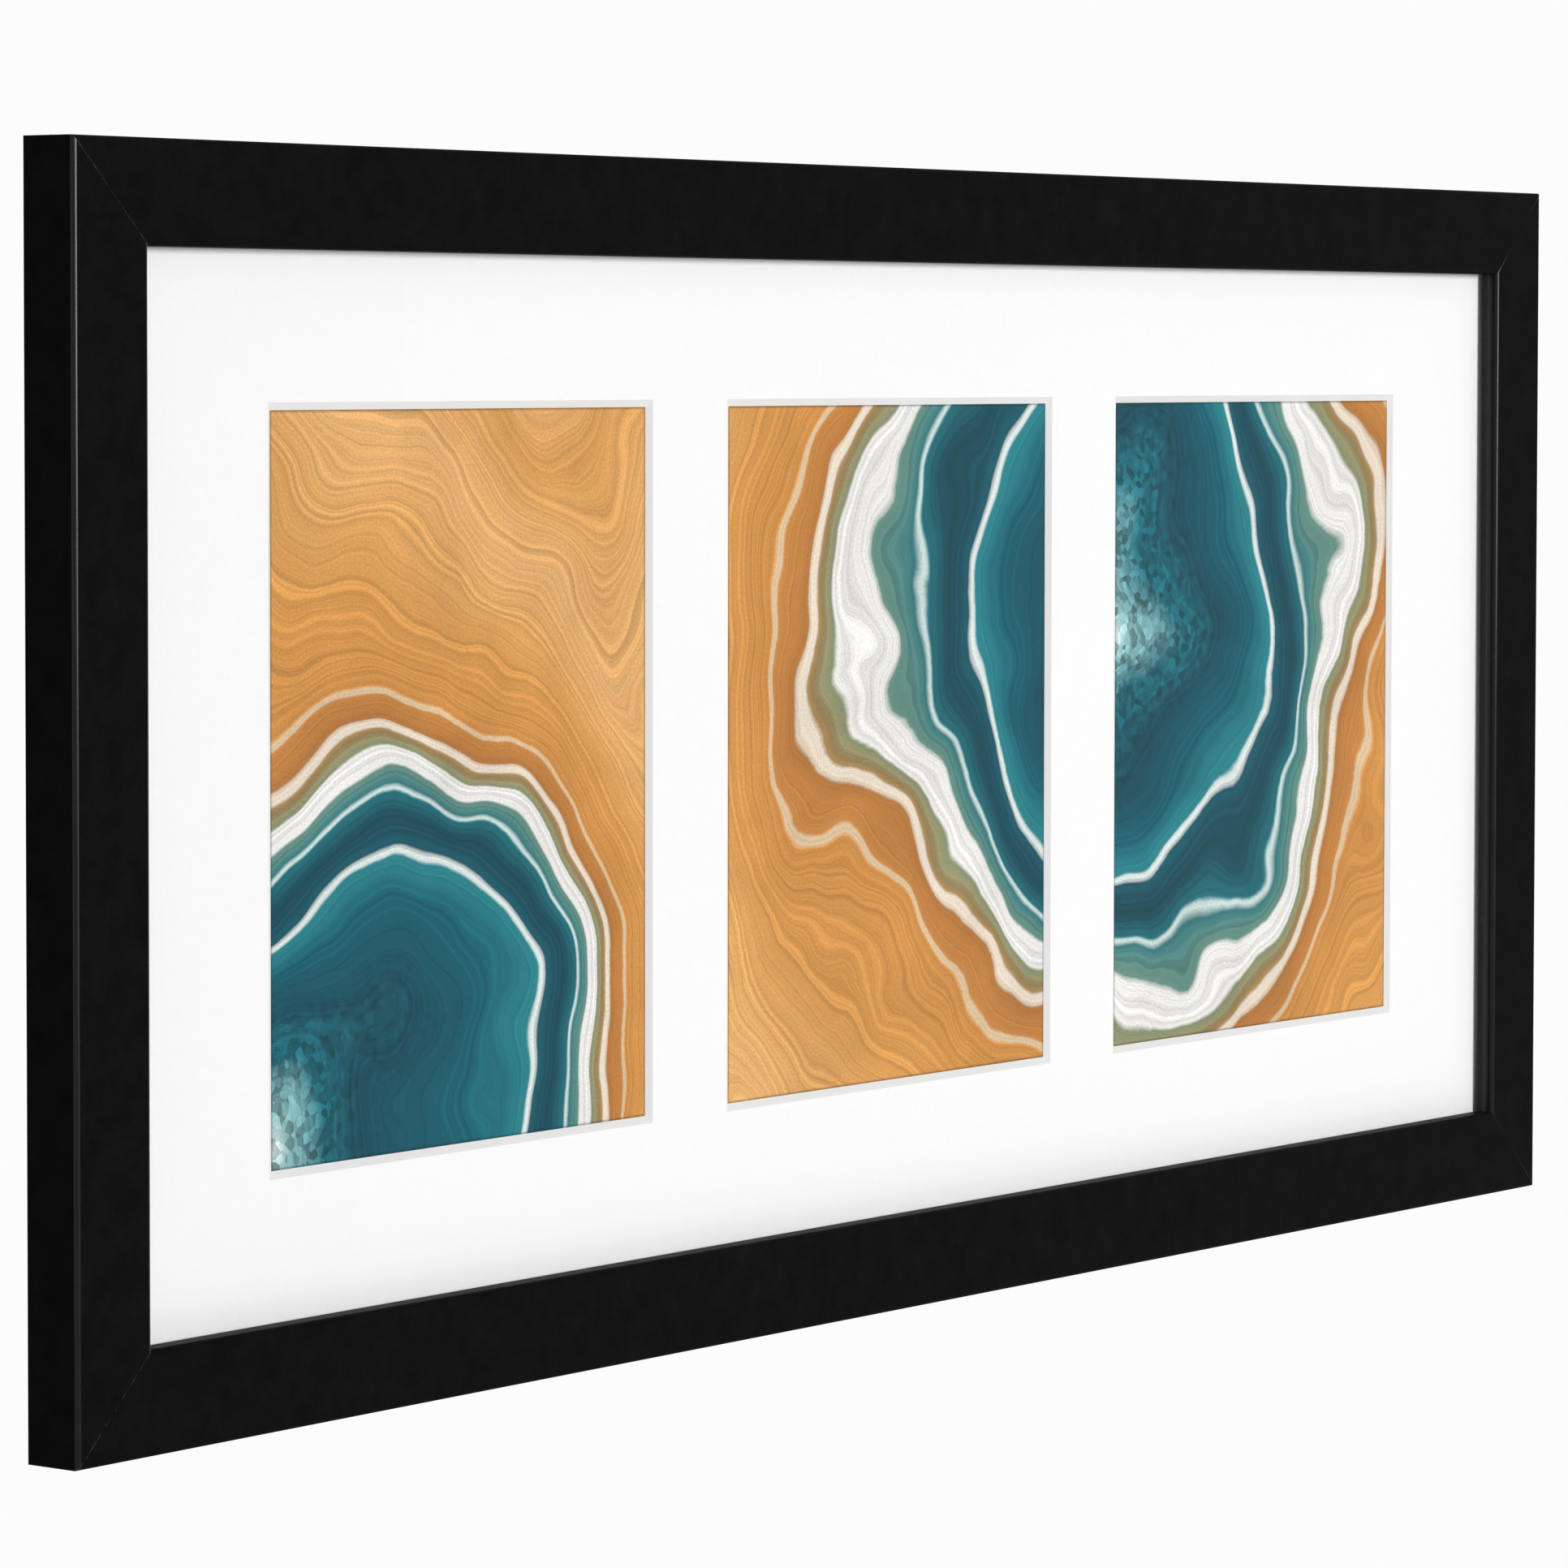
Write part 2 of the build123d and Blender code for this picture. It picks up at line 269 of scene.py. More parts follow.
# Besides the blotch tones and the dust nibs, two tones here are painted light: the highlight along the
# mitres, and the white mat's glow on the lip's inner wall.
black = {"mitre_highlight": "#3C3C3E", "nib": "#3A3A3B", "lip": "#1A1A1C", "light": "#131314", "dark": "#09090A"}
bare_board = {"light": "#B8966B", "dark": "#8E6C46"}
satin_shine = 0.008
arris_shine = 0.17
arris_roughness = 0.25
board_roughness = 0.85
blotch_size = 0.012
joint_line = 0.00012
joint_fade = 0.00026
breakup_size = 0.003
peel_size = 0.0035
peel_depth = 0.00004
nib_spacing = 0.022
nib_radius = 0.0002
mist_size = 0.0009
mist_wander = 0.0036
mist_fade = 0.0044
fibre_size = 0.0012
plane_slack = 0.00003
moulding_face = 0.0333
back_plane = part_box("top_rail")[1].y
outer_low, outer_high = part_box("left_stile")[0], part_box("right_stile")[1]

# How far a point lies from the sides, from the nearer of top and foot, and from any outer edge.
material, tree, shader, place = new_finish("satin_black_lacquer_on_fibreboard")
where = add(tree, "ShaderNodeSeparateXYZ", {"Vector": place})
across = add(tree, "ShaderNodeMath", {0: where.outputs["X"]}, operation="ABSOLUTE")
from_side = add(tree, "ShaderNodeMath", {0: outer_high.x, 1: across.outputs[0]}, operation="SUBTRACT")
from_top = add(tree, "ShaderNodeMath", {0: outer_high.z, 1: where.outputs["Z"]}, operation="SUBTRACT")
from_foot = add(tree, "ShaderNodeMath", {0: where.outputs["Z"], 1: outer_low.z}, operation="SUBTRACT")
from_ends = add(tree, "ShaderNodeMath", {0: from_top.outputs[0], 1: from_foot.outputs[0]},
                operation="MINIMUM")
inwards = add(tree, "ShaderNodeMath", {0: from_ends.outputs[0], 1: from_side.outputs[0]},
              operation="MINIMUM")

# Black with faint blotches. The inner wall of the lip is drawn paler: painted light, from the white mat
# beside it.
blotch = add(tree, "ShaderNodeTexNoise", {
    "Vector": place, "Scale": 1 / blotch_size, "Detail": 7.0, "Roughness": 0.74,
})
tone = add(tree, "ShaderNodeValToRGB", {"Fac": blotch.outputs["Fac"]},
           stops=[(0.3, black["dark"]), (0.72, black["light"])])
lip = add(tree, "ShaderNodeMath", {0: inwards.outputs[0], 1: moulding_face - plane_slack},
          operation="GREATER_THAN")
tone = add(tree, "ShaderNodeMix", {0: lip.outputs[0], 6: tone.outputs[0], 7: linear(black["lip"])},
           data_type="RGBA")

# A broken line along each mitre, paler than the black, plainest at the left end and gone at the
# right: a painted highlight where light catches the joint.
mitre = add(tree, "ShaderNodeMath", {0: from_side.outputs[0], 1: from_ends.outputs[0]},
            operation="SUBTRACT")
mitre = add(tree, "ShaderNodeMath", {0: mitre.outputs[0]}, operation="ABSOLUTE")
line = add(tree, "ShaderNodeMapRange", {
    "Value": mitre.outputs[0],
    "From Min": joint_line,
    "From Max": joint_fade,
    "To Min": 1.0,
    "To Max": 0.0,
}, interpolation_type="SMOOTHSTEP")
highlight_breakup = add(tree, "ShaderNodeTexNoise", {
    "Vector": place, "Scale": 1 / breakup_size, "Detail": 4.0, "Roughness": 0.7,
})
highlight_pieces = add(tree, "ShaderNodeMapRange", {
    "Value": highlight_breakup.outputs["Fac"], "From Min": 0.40, "From Max": 0.64,
}, interpolation_type="SMOOTHSTEP")
leftwards = add(tree, "ShaderNodeMapRange", {
    "Value": where.outputs["X"],
    "From Min": outer_low.x,
    "From Max": outer_high.x,
    "To Min": 1.0,
    "To Max": 0.0,
})
mitre_highlight = add(tree, "ShaderNodeMath", {0: line.outputs[0], 1: highlight_pieces.outputs[0]}, operation="MULTIPLY")
mitre_highlight = add(tree, "ShaderNodeMath", {0: mitre_highlight.outputs[0], 1: leftwards.outputs[0]}, operation="MULTIPLY")
tone = add(tree, "ShaderNodeMix", {0: mitre_highlight.outputs[0], 6: tone.outputs[2], 7: linear(black["mitre_highlight"])},
           data_type="RGBA")

# Dust nibs under the coat, and the slight orange peel of its surface.
nib = add(tree, "ShaderNodeTexVoronoi", {"Vector": place, "Scale": 1 / nib_spacing})
speck = add(tree, "ShaderNodeMapRange", {
    "Value": nib.outputs["Distance"],
    "From Min": 0.0,
    "From Max": nib_radius / nib_spacing,
    "To Min": 1.0,
    "To Max": 0.0,
}, interpolation_type="SMOOTHSTEP")
tone = add(tree, "ShaderNodeMix", {0: speck.outputs[0], 6: tone.outputs[2], 7: linear(black["nib"])},
           data_type="RGBA")
peel = add(tree, "ShaderNodeTexNoise", {
    "Vector": place, "Scale": 1 / peel_size, "Detail": 2.0, "Roughness": 0.5,
})
bump = add(tree, "ShaderNodeBump", {
    "Height": peel.outputs["Fac"], "Strength": 0.25, "Distance": peel_depth,
})

# The stiles' arrises, which turn from front to side, are burnished by handling. The walls of the
# fine grooves at the mitres turn that way too and tip towards a rail, which tells them apart: on
# the left they are burnished as well, and on the right they are left as sprayed.
coords = add(tree, "ShaderNodeTexCoord")
facing = add(tree, "ShaderNodeSeparateXYZ", {"Vector": coords.outputs["Normal"]})
turned = add(tree, "ShaderNodeMath", {0: facing.outputs["X"], 1: facing.outputs["Y"]}, operation="MULTIPLY")
turned = add(tree, "ShaderNodeMath", {0: turned.outputs[0]}, operation="ABSOLUTE")
tipped = add(tree, "ShaderNodeMath", {0: facing.outputs["Z"], 1: facing.outputs["Y"]}, operation="MULTIPLY")
tipped = add(tree, "ShaderNodeMath", {0: tipped.outputs[0]}, operation="ABSOLUTE")
rightwards = add(tree, "ShaderNodeMath", {0: 1.0, 1: leftwards.outputs[0]}, operation="SUBTRACT")
tipped = add(tree, "ShaderNodeMath", {0: tipped.outputs[0], 1: rightwards.outputs[0]}, operation="MULTIPLY")
turned = add(tree, "ShaderNodeMath", {0: turned.outputs[0], 1: tipped.outputs[0]}, operation="SUBTRACT")
burnish = add(tree, "ShaderNodeMapRange", {
    "Value": turned.outputs[0], "From Min": 0.02, "From Max": 0.25,
}, interpolation_type="SMOOTHSTEP")
shine = add(tree, "ShaderNodeMix", {0: burnish.outputs[0], 2: satin_shine, 3: arris_shine},
            data_type="FLOAT")
satin = add(tree, "ShaderNodeMapRange", {
    "Value": blotch.outputs["Fac"], "From Min": 0.3, "From Max": 0.7, "To Min": 0.42, "To Max": 0.50,
})
satin = add(tree, "ShaderNodeMix", {0: burnish.outputs[0], 2: satin.outputs[0], 3: arris_roughness},
            data_type="FLOAT")

# The back is bare fibreboard, which the overspray reaches only near the outer edge.
behind = add(tree, "ShaderNodeMath", {0: where.outputs["Y"], 1: back_plane - plane_slack},
             operation="GREATER_THAN")
mist = add(tree, "ShaderNodeTexNoise", {"Vector": place, "Scale": 1 / mist_size, "Detail": 3.0})
ragged = add(tree, "ShaderNodeMath", {0: mist.outputs["Fac"], 1: -mist_wander, 2: inwards.outputs[0]},
             operation="MULTIPLY_ADD")
bare = add(tree, "ShaderNodeMapRange", {
    "Value": ragged.outputs[0], "From Min": 0.0, "From Max": mist_fade,
}, interpolation_type="SMOOTHSTEP")
bare = add(tree, "ShaderNodeMath", {0: bare.outputs[0], 1: behind.outputs[0]}, operation="MULTIPLY")
fibre = add(tree, "ShaderNodeTexNoise", {
    "Vector": place, "Scale": 1 / fibre_size, "Detail": 6.0, "Roughness": 0.75,
})
board = add(tree, "ShaderNodeValToRGB", {"Fac": fibre.outputs["Fac"]},
            stops=[(0.3, bare_board["dark"]), (0.7, bare_board["light"])])
colour = add(tree, "ShaderNodeMix", {0: bare.outputs[0], 6: tone.outputs[2], 7: board.outputs[0]},
             data_type="RGBA")
rough = add(tree, "ShaderNodeMix", {0: bare.outputs[0], 2: satin.outputs[0], 3: board_roughness},
            data_type="FLOAT")
tree.links.new(colour.outputs[2], shader.inputs["Base Color"])
tree.links.new(rough.outputs[0], shader.inputs["Roughness"])
tree.links.new(shine.outputs[0], shader.inputs["Specular IOR Level"])
tree.links.new(bump.outputs[0], shader.inputs["Normal"])

for name in ("bottom_rail", "left_stile", "top_rail", "right_stile"):
    moulding = finished_copy(name)
    settle(moulding, material, "black_lacquer", "frame", name)


# V-nails: steel wedges pressed across each mitre from behind, with a thin zinc flash. Only
# their edges show, flush with the back of the moulding.
pale_zinc = "#B9BAB8"
clouding_size = 0.003
rolling_size = 0.00025
rolling_stretch = 25
rolling_depth = 0.00002


def zinc_steel(name, code, smoothest, roughest):
    """Zinc plating on pressed steel: faint clouding and rolling lines, drawn coarser than the
    real ones so that they show."""
    material, tree, shader, place = new_finish(name)
    cloud = add(tree, "ShaderNodeTexNoise", {
        "Vector": place, "Scale": 1 / clouding_size, "Detail": 5.0, "Roughness": 0.6,
    })
    tint = add(tree, "ShaderNodeMix", {0: cloud.outputs["Fac"], 6: linear(code), 7: linear(pale_zinc)},
               data_type="RGBA")
    lines = add(tree, "ShaderNodeMapping", {"Vector": place, "Scale": (1, 1, 1 / rolling_stretch)})
    rolled = add(tree, "ShaderNodeTexNoise", {
        "Vector": lines.outputs[0], "Scale": 1 / rolling_size, "Detail": 3.0,
    })
    shine = add(tree, "ShaderNodeMapRange", {
        "Value": rolled.outputs["Fac"],
        "From Min": 0.3,
        "From Max": 0.7,
        "To Min": smoothest,
        "To Max": roughest,
    })
    bump = add(tree, "ShaderNodeBump", {
        "Height": rolled.outputs["Fac"], "Strength": 0.2, "Distance": rolling_depth,
    })
    tree.links.new(tint.outputs[2], shader.inputs["Base Color"])
    tree.links.new(shine.outputs[0], shader.inputs["Roughness"])
    tree.links.new(bump.outputs[0], shader.inputs["Normal"])
    shader.inputs["Metallic"].default_value = 1.0
    return material


nail_steel = zinc_steel("flashed_nail_steel", "#7C7A74", smoothest=0.38, roughest=0.54)
settle(nodes["corner_v_nails"], nail_steel, "zinc_steel", "frame")


# Glazing: a sheet of clear styrene cut to the rebate, standing on the bottom rail. Its face is
# etched a little against glare, so a lamp shows in it only as a faint haze.
material, tree, shader, place = new_finish("clear_styrene_sheet")
shader.inputs["Base Color"].default_value = linear("#1A2220")
shader.inputs["Roughness"].default_value = 0.28
shader.inputs["IOR"].default_value = 1.5
shader.inputs["Alpha"].default_value = 0.03
settle(nodes["glazing"], material, "clear_glass", "frame")


# Mat: white-core board cut on a bevel round each window, where the core shows as a slightly
# greyer line. The facing paper is matt and has a fine tooth, drawn a little coarser than the
# real one so that it shows.
tooth_size = 0.0007
tooth_depth = 0.00003
mat_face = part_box("mat_board")[0].y
material, tree, shader, place = new_finish("white_core_mat_board")
tooth = add(tree, "ShaderNodeTexNoise", {
    "Vector": place, "Scale": 1 / tooth_size, "Detail": 4.0, "Roughness": 0.65,
})
paper = add(tree, "ShaderNodeValToRGB", {"Fac": tooth.outputs["Fac"]},
            stops=[(0.25, "#F8F8F7"), (0.8, "#FBFBFB")])
where = add(tree, "ShaderNodeSeparateXYZ", {"Vector": place})
cut = add(tree, "ShaderNodeMath", {0: where.outputs["Y"], 1: mat_face + plane_slack},
          operation="GREATER_THAN")
colour = add(tree, "ShaderNodeMix", {0: cut.outputs[0], 6: paper.outputs[0], 7: linear("#EEEEED")},
             data_type="RGBA")
bump = add(tree, "ShaderNodeBump", {
    "Height": tooth.outputs["Fac"], "Strength": 0.12, "Distance": tooth_depth,
})
tree.links.new(colour.outputs[2], shader.inputs["Base Color"])
tree.links.new(bump.outputs[0], shader.inputs["Normal"])
shader.inputs["Roughness"].default_value = 0.9
shader.inputs["Specular IOR Level"].default_value = 0.1
settle(nodes["mat_board"], material, "white_mat", "frame")


# Prints: lustre photo paper with a design of banded stone that runs across all three: teal
# hearts with pale crystals, ringed by white, grey-green and ochre bands in sandy rock. The
# paper lies in the mat's shade along the window edges.
band_stops = [
    (0.00, "#E4EEEC"), (0.035, "#8FC0C2"), (0.09, "#1D6C7A"), (0.15, "#0E4A5A"), (0.22, "#0F6272"),
    (0.266, "#2C8B93"), (0.268, "#DCEBE8"), (0.277, "#E9F2F0"), (0.279, "#135A69"), (0.32, "#0C4554"),
    (0.352, "#20727D"), (0.354, "#CFE3DF"), (0.359, "#CFE3DF"), (0.361, "#2F7C82"), (0.388, "#6C9486"),
    (0.390, "#F4F2EE"), (0.419, "#F7F4F1"), (0.421, "#8E9A78"), (0.446, "#A7824E"), (0.448, "#F3E7D8"),
    (0.462, "#F1DCC2"), (0.464, "#B97A3C"), (0.501, "#CC8A46"), (0.503, "#EFD3AC"), (0.508, "#EFD3AC"),
    (0.510, "#D6944C"), (0.60, "#DE9E54"), (0.74, "#EDB674"), (0.86, "#E0A25A"), (1.0, "#EFBE86"),
]
outer_band = 0.5
outer_band_radius = {(0.155, 0.0, -0.085): 0.19, (-0.300, 0.0, -0.245): 0.155}
heart_blend = 0.12
drift_size = 0.1667
drift_push = 0.19
ripple_size = 0.01667
ripple_push = 0.009
strata_count = 120.0
patch_size = 0.0385
grit_size = 0.0009
crystal_size = 0.0030
window_shade_reach = 0.0011
print_overlap = 0.00635
print_low, print_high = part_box("centre_print")
print_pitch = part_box("right_print")[0].x - print_low.x
in_plane = (1, 0, 1)

# The distance from the nearer heart, pushed about by slow drifts and fine ripples, picks the band.
material, tree, shader, place = new_finish("lustre_photo_print_banded_stone")
flat = add(tree, "ShaderNodeVectorMath", {0: place, 1: in_plane}, operation="MULTIPLY")
drift = add(tree, "ShaderNodeTexNoise", {
    "Vector": flat.outputs[0], "Scale": 1 / drift_size, "Detail": 3.0, "Roughness": 0.42,
})
centred = add(tree, "ShaderNodeVectorMath", {0: drift.outputs["Color"], 1: (0.5, 0.5, 0.5)},
              operation="SUBTRACT")
push = add(tree, "ShaderNodeVectorMath", {0: centred.outputs[0], "Scale": drift_push}, operation="SCALE")
flow = add(tree, "ShaderNodeVectorMath", {0: flat.outputs[0], 1: push.outputs[0]}, operation="ADD")
flow = add(tree, "ShaderNodeVectorMath", {0: flow.outputs[0], 1: in_plane}, operation="MULTIPLY")
reach = []
for heart, radius in outer_band_radius.items():
    away = add(tree, "ShaderNodeVectorMath", {0: flow.outputs[0], 1: heart}, operation="DISTANCE")
    share = add(tree, "ShaderNodeMath", {0: away.outputs["Value"], 1: outer_band / radius},
                operation="MULTIPLY")
    reach.append(share.outputs[0])
level = add(tree, "ShaderNodeMath", {0: reach[0], 1: reach[1], 2: heart_blend}, operation="SMOOTH_MIN")
ripple = add(tree, "ShaderNodeTexNoise", {
    "Vector": flow.outputs[0], "Scale": 1 / ripple_size, "Detail": 6.0, "Roughness": 0.6,
})
level = add(tree, "ShaderNodeMath", {0: ripple.outputs["Fac"], 1: ripple_push, 2: level.outputs[0]},
            operation="MULTIPLY_ADD")
bands = add(tree, "ShaderNodeValToRGB", {"Fac": level.outputs[0]}, stops=band_stops)

# Fine strata run along the bands, over grit and broad patches.
strata = add(tree, "ShaderNodeTexNoise", {
    "W": level.outputs[0], "Scale": strata_count, "Detail": 6.0, "Roughness": 0.78,
}, noise_dimensions="1D")
strata = add(tree, "ShaderNodeMapRange", {
    "Value": strata.outputs["Fac"], "From Min": 0.3, "From Max": 0.7, "To Min": 0.70, "To Max": 1.20,
})
grit = add(tree, "ShaderNodeTexNoise", {"Vector": flat.outputs[0], "Scale": 1 / grit_size, "Detail": 3.0})
grit = add(tree, "ShaderNodeMapRange", {
    "Value": grit.outputs["Fac"], "From Min": 0.3, "From Max": 0.7, "To Min": 0.87, "To Max": 1.11,
})
patch = add(tree, "ShaderNodeTexNoise", {
    "Vector": flow.outputs[0], "Scale": 1 / patch_size, "Detail": 4.0, "Roughness": 0.55,
})
patch = add(tree, "ShaderNodeMapRange", {
    "Value": patch.outputs["Fac"], "From Min": 0.3, "From Max": 0.7, "To Min": 0.88, "To Max": 1.07,
})
shade = add(tree, "ShaderNodeMath", {0: strata.outputs[0], 1: grit.outputs[0]}, operation="MULTIPLY")
shade = add(tree, "ShaderNodeMath", {0: shade.outputs[0], 1: patch.outputs[0]}, operation="MULTIPLY")

# Crystals of many shades fill the hearts.
crystal = add(tree, "ShaderNodeTexVoronoi", {"Vector": flat.outputs[0], "Scale": 1 / crystal_size})
facet = add(tree, "ShaderNodeSeparateColor", {"Color": crystal.outputs["Color"]})
facet = add(tree, "ShaderNodeMapRange", {
    "Value": facet.outputs[0], "From Min": 0.0, "From Max": 1.0, "To Min": 0.45, "To Max": 1.6,
})
heartwards = add(tree, "ShaderNodeMapRange", {
    "Value": level.outputs[0], "From Min": 0.06, "From Max": 0.2, "To Min": 1.0, "To Max": 0.0,
}, interpolation_type="SMOOTHSTEP")
facet = add(tree, "ShaderNodeMix", {0: heartwards.outputs[0], 2: 1.0, 3: facet.outputs[0]},
            data_type="FLOAT")
shade = add(tree, "ShaderNodeMath", {0: shade.outputs[0], 1: facet.outputs[0]}, operation="MULTIPLY")

# The mat's shade deepens towards each window's edge, a little inside the print's own edge.
where = add(tree, "ShaderNodeSeparateXYZ", {"Vector": place})
nearest = add(tree, "ShaderNodeMath", {0: where.outputs["X"], 1: print_pitch / 2}, operation="ADD")
nearest = add(tree, "ShaderNodeMath", {0: nearest.outputs[0], 1: print_pitch}, operation="SNAP")
aside = add(tree, "ShaderNodeMath", {0: where.outputs["X"], 1: nearest.outputs[0]}, operation="SUBTRACT")
aside = add(tree, "ShaderNodeMath", {0: aside.outputs[0]}, operation="ABSOLUTE")
to_side = add(tree, "ShaderNodeMath", {0: print_high.x - print_overlap, 1: aside.outputs[0]},
              operation="SUBTRACT")
above = add(tree, "ShaderNodeMath", {0: where.outputs["Z"], 1: (print_low.z + print_high.z) / 2},
            operation="SUBTRACT")
above = add(tree, "ShaderNodeMath", {0: above.outputs[0]}, operation="ABSOLUTE")
half_height = (print_high.z - print_low.z) / 2 - print_overlap
to_end = add(tree, "ShaderNodeMath", {0: half_height, 1: above.outputs[0]}, operation="SUBTRACT")
to_edge = add(tree, "ShaderNodeMath", {0: to_side.outputs[0], 1: to_end.outputs[0]}, operation="MINIMUM")
edge_shade = add(tree, "ShaderNodeMapRange", {
    "Value": to_edge.outputs[0],
    "From Min": 0.0,
    "From Max": window_shade_reach,
    "To Min": 0.4,
    "To Max": 1.0,
}, interpolation_type="SMOOTHSTEP")
shade = add(tree, "ShaderNodeMath", {0: shade.outputs[0], 1: edge_shade.outputs[0]}, operation="MULTIPLY")
shaded = add(tree, "ShaderNodeVectorMath", {0: bands.outputs[0], "Scale": shade.outputs[0]},
             operation="SCALE")
tree.links.new(shaded.outputs[0], shader.inputs["Base Color"])
shader.inputs["Roughness"].default_value = 0.45
shader.inputs["Specular IOR Level"].default_value = 0.1
for name in ("left_print", "centre_print", "right_print"):
    settle(nodes[name], material, "photo_paper", "frame")


# Tapes: two strips of gummed cream paper to a print, which hang it from the back of the mat.
# The paper is dull and has a fine crepe.
crepe_size = 0.0008
material, tree, shader, place = new_finish("gummed_paper_tape")
crepe = add(tree, "ShaderNodeTexNoise", {"Vector": place, "Scale": 1 / crepe_size, "Detail": 4.0})
tone = add(tree, "ShaderNodeValToRGB", {"Fac": crepe.outputs["Fac"]},
           stops=[(0.3, "#D9CFB8"), (0.7, "#E8E0CC")])
tree.links.new(tone.outputs[0], shader.inputs["Base Color"])
shader.inputs["Roughness"].default_value = 0.8
for name in ("left_print_tapes", "centre_print_tapes", "right_print_tapes"):
    settle(nodes[name], material, "paper_tape", "frame")


# Filler: single-wall corrugated board that presses the prints flat against the mat. Its flutes
# show through the facing paper as upright stripes. A wave texture repeats every pi / 10.
flute_pitch = 0.0064
wave_period = math.pi / 10
material, tree, shader, place = new_finish("corrugated_kraft_board")
flutes = add(tree, "ShaderNodeTexWave", {
    "Vector": place, "Scale": wave_period / flute_pitch, "Distortion": 0.4,
})
tone = add(tree, "ShaderNodeValToRGB", {"Fac": flutes.outputs["Fac"]},
           stops=[(0.0, "#A9825A"), (1.0, "#C09A6E")])
tree.links.new(tone.outputs[0], shader.inputs["Base Color"])
shader.inputs["Roughness"].default_value = 0.85
settle(nodes["filler_board"], material, "corrugated_board", "frame")


# Backing: brown hardboard that closes the rebate and is held in by the turn buttons. It is
# pressed smooth on the outside, with darker fibre bundles and faint broad clouds in it.
pulp_size = 0.0022
pulp_depth = 0.00008
broad_size = 0.111
material, tree, shader, place = new_finish("pressed_brown_hardboard")
pulp = add(tree, "ShaderNodeTexNoise", {
    "Vector": place, "Scale": 1 / pulp_size, "Detail": 8.0, "Roughness": 0.75,
})
broad = add(tree, "ShaderNodeTexNoise", {"Vector": place, "Scale": 1 / broad_size, "Detail": 3.0})
tone = add(tree, "ShaderNodeValToRGB", {"Fac": pulp.outputs["Fac"]},
           stops=[(0.25, "#54351C"), (0.5, "#75502F"), (0.75, "#8E673F")])
shade = add(tree, "ShaderNodeMapRange", {
    "Value": broad.outputs["Fac"], "From Min": 0.3, "From Max": 0.7, "To Min": 0.9, "To Max": 1.08,
})
toned = add(tree, "ShaderNodeVectorMath", {0: tone.outputs[0], "Scale": shade.outputs[0]},
            operation="SCALE")
bump = add(tree, "ShaderNodeBump", {
    "Height": pulp.outputs["Fac"], "Strength": 0.3, "Distance": pulp_depth,
})
tree.links.new(toned.outputs[0], shader.inputs["Base Color"])
tree.links.new(bump.outputs[0], shader.inputs["Normal"])
shader.inputs["Roughness"].default_value = 0.62
shader.inputs["Specular IOR Level"].default_value = 0.3
settle(nodes["backing_board"], material, "brown_hardboard", "frame")


# Turn buttons: tongues pressed from zinc-plated strip, with the burr rolled off their edges.
# Each turns about its own screw and holds the backing down with its tip.
button_edge = 0.00012
plated = zinc_steel("bright_zinc_plated_steel", "#94989B", smoothest=0.29, roughest=0.45)
button_names = sorted(
    name for name in nodes if name.startswith("turn_button") and name != "turn_button_screws"
)
for name in button_names:
    settle(finished_copy(name, arris=button_edge), plated, "zinc_steel", name, name)


# Screws: pan-head wood screws with a cross recess, zinc plated, one through each turn button
# and each strap. All are copies of one screw, drawn along Z with its seat at the origin.
head_radius = 0.0029
head_height = 0.0018
head_round = 0.0009
shank_radius = 0.00145
shank_length = 0.011
point_length = 0.003
point_taper = 0.12
recess_reach = 0.0018
recess_width = 0.0007
recess_depth = 0.0012
recess_taper = 0.45


def select_facing(piece, direction, within=25):
    """In edit mode, select only the faces that look within so many degrees of a direction."""
    mesh = bmesh.from_edit_mesh(piece.data)
    for face in mesh.faces:
        face.select_set(False)
    for face in mesh.faces:
        if face.normal.dot(Vector(direction)) > math.cos(math.radians(within)):
            face.select_set(True)
    bmesh.update_edit_mesh(piece.data)


bpy.ops.mesh.primitive_cylinder_add(vertices=32, radius=head_radius, depth=head_height,
                                    location=(0, 0, head_height / 2))
screw = bpy.context.object
bpy.ops.object.transform_apply(location=True)
bpy.ops.object.mode_set(mode="EDIT")
select_facing(screw, (0, 0, 1))
bpy.ops.mesh.bevel(offset=head_round, segments=4, affect="EDGES")
select_facing(screw, (0, 0, -1))
bpy.ops.mesh.inset(thickness=head_radius - shank_radius)
bpy.ops.mesh.extrude_region_move(TRANSFORM_OT_translate={"value": (0, 0, point_length - shank_length)})
bpy.ops.mesh.extrude_region_move(TRANSFORM_OT_translate={"value": (0, 0, -point_length)})
bpy.ops.transform.resize(value=(point_taper, point_taper, 1))
bpy.ops.object.mode_set(mode="OBJECT")

recess_arms = []
for turn in (0, math.pi / 2):
    bpy.ops.mesh.primitive_cube_add(size=1, location=(0, 0, head_height), rotation=(0, 0, turn),
                                    scale=(2 * recess_reach, recess_width, 2 * recess_depth))
    arm = bpy.context.object
    bpy.ops.object.transform_apply(location=True, rotation=True, scale=True)
    bpy.ops.object.mode_set(mode="EDIT")
    select_facing(arm, (0, 0, -1))
    bpy.ops.transform.resize(value=(recess_taper, recess_taper, 1))
    bpy.ops.object.mode_set(mode="OBJECT")
    modify(screw, "BOOLEAN", object=arm, operation="DIFFERENCE", solver="EXACT")
    recess_arms.append(arm)
for arm in recess_arms:
    bpy.data.objects.remove(arm)
smooth(screw, limit=40)


